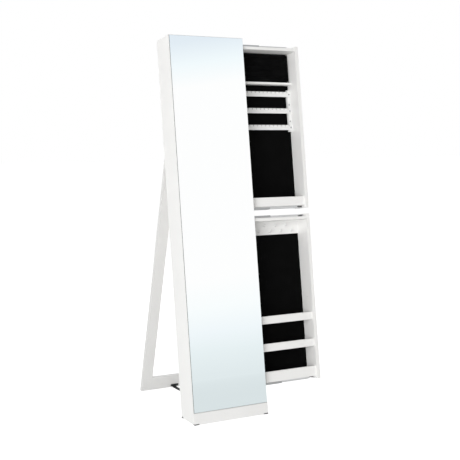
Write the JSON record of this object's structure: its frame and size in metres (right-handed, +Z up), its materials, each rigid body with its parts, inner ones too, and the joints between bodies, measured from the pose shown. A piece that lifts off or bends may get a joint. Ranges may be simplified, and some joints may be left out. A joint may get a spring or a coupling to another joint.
{
  "type": "jewelry mirror cabinet",
  "caption": "Tall leaning floor mirror on a rear prop leg, with shallow jewelry boxes that pull out sideways from behind the glass on telescopic slides.",
  "frame": {"origin": "on the floor at the centre of the base's footprint", "axes": "+Z up, +X to the right seen from the mirror's front, where the boxes pull out, +Y backwards towards the leg"},
  "size_m": [0.592, 0.554, 1.4842],
  "materials": {
    "white_laminate": "satin white melamine on fibreboard with eased edges",
    "white_back": "smooth white painted hardboard",
    "mirror": "silvered plate glass with ground edges",
    "black_felt": "matte black felt",
    "black_velvet": "black short-pile velvet",
    "white_acrylic": "white plastic with a soft gloss",
    "zinc_steel": "bright zinc-plated steel",
    "screw_steel": "zinc-plated steel screw heads",
    "black_rubber": "matte black rubber",
    "black_webbing": "woven black webbing",
    "black_plate": "matte black plastic"
  },
  "bodies": {
    "housing": {"back_panel": "white_back", "back_panel_screws": "screw_steel", "backing_board": "white_laminate", "base_panel": "white_laminate", "fixed_hinge_leaves": "zinc_steel", "floor_board": "white_laminate", "foot_pads": "black_rubber", "hinge_pins": "zinc_steel", "hinge_rail": "white_laminate", "left_side_panel": "white_laminate", "lower_slide_outers": "zinc_steel", "middle_divider": "white_laminate", "mirror_glass": "mirror", "plinth_board": "white_laminate", "rear_base_rail": "white_laminate", "restraint_strap": "black_webbing", "right_base_cheek": "white_laminate", "strap_plate_housing": "black_plate", "top_panel": "white_laminate", "upper_slide_outers": "zinc_steel"},
    "upper_pullout": {"earring_bar_1": "white_acrylic", "earring_bar_2": "white_acrylic", "earring_bar_3": "white_acrylic", "rack_screws": "screw_steel", "rack_strips": "white_acrylic", "ring_cushion": "black_velvet", "ring_ledge": "white_laminate", "upper_back_board": "white_back", "upper_back_screws": "screw_steel", "upper_bottom_board": "white_laminate", "upper_bottom_lip": "white_laminate", "upper_end_panel": "white_laminate", "upper_felt_liner": "black_felt", "upper_left_board": "white_laminate", "upper_slide_inners": "zinc_steel", "upper_top_board": "white_laminate"},
    "lower_pullout": {"high_shelf": "white_laminate", "high_shelf_lip": "white_laminate", "hook_board": "white_laminate", "low_shelf": "white_laminate", "low_shelf_lip": "white_laminate", "lower_back_board": "white_back", "lower_back_screws": "screw_steel", "lower_bottom_board": "white_laminate", "lower_bottom_lip": "white_laminate", "lower_end_panel": "white_laminate", "lower_felt_liner": "black_felt", "lower_left_board": "white_laminate", "lower_slide_inners": "zinc_steel", "lower_top_board": "white_laminate", "necklace_hooks": "white_acrylic"},
    "upper_slide_middle": {"upper_slide_middles": "zinc_steel"},
    "lower_slide_middle": {"lower_slide_middles": "zinc_steel"},
    "support_leg": {"bottom_rail": "white_laminate", "left_stile": "white_laminate", "moving_hinge_leaves": "zinc_steel", "right_stile": "white_laminate", "strap_plate_leg": "black_plate", "top_rail": "white_laminate"}
  },
  "joints": [
    {"name": "upper_pull", "type": "slide", "parent": "housing", "child": "upper_pullout", "axis": [1, 0, 0], "range_m": [-0.267, 0]},
    {"name": "lower_pull", "type": "slide", "parent": "housing", "child": "lower_pullout", "axis": [1, 0, 0], "range_m": [-0.267, 0]},
    {"name": "upper_middle_travel", "type": "slide", "parent": "housing", "child": "upper_slide_middle", "axis": [1, 0, 0], "range_m": [-0.1335, 0]},
    {"name": "lower_middle_travel", "type": "slide", "parent": "housing", "child": "lower_slide_middle", "axis": [1, 0, 0], "range_m": [-0.1335, 0]},
    {"name": "leg_swing", "type": "hinge", "parent": "housing", "child": "support_leg", "pos_m": [0, 0.22415, 1.01209], "axis": [1, 0, 0], "range_deg": [-23.4, 0], "deforming": ["restraint_strap"]}
  ],
  "couplings": [
    {"joint": "upper_middle_travel", "follows": "upper_pull", "ratio": 0.5},
    {"joint": "lower_middle_travel", "follows": "lower_pull", "ratio": 0.5}
  ]
}
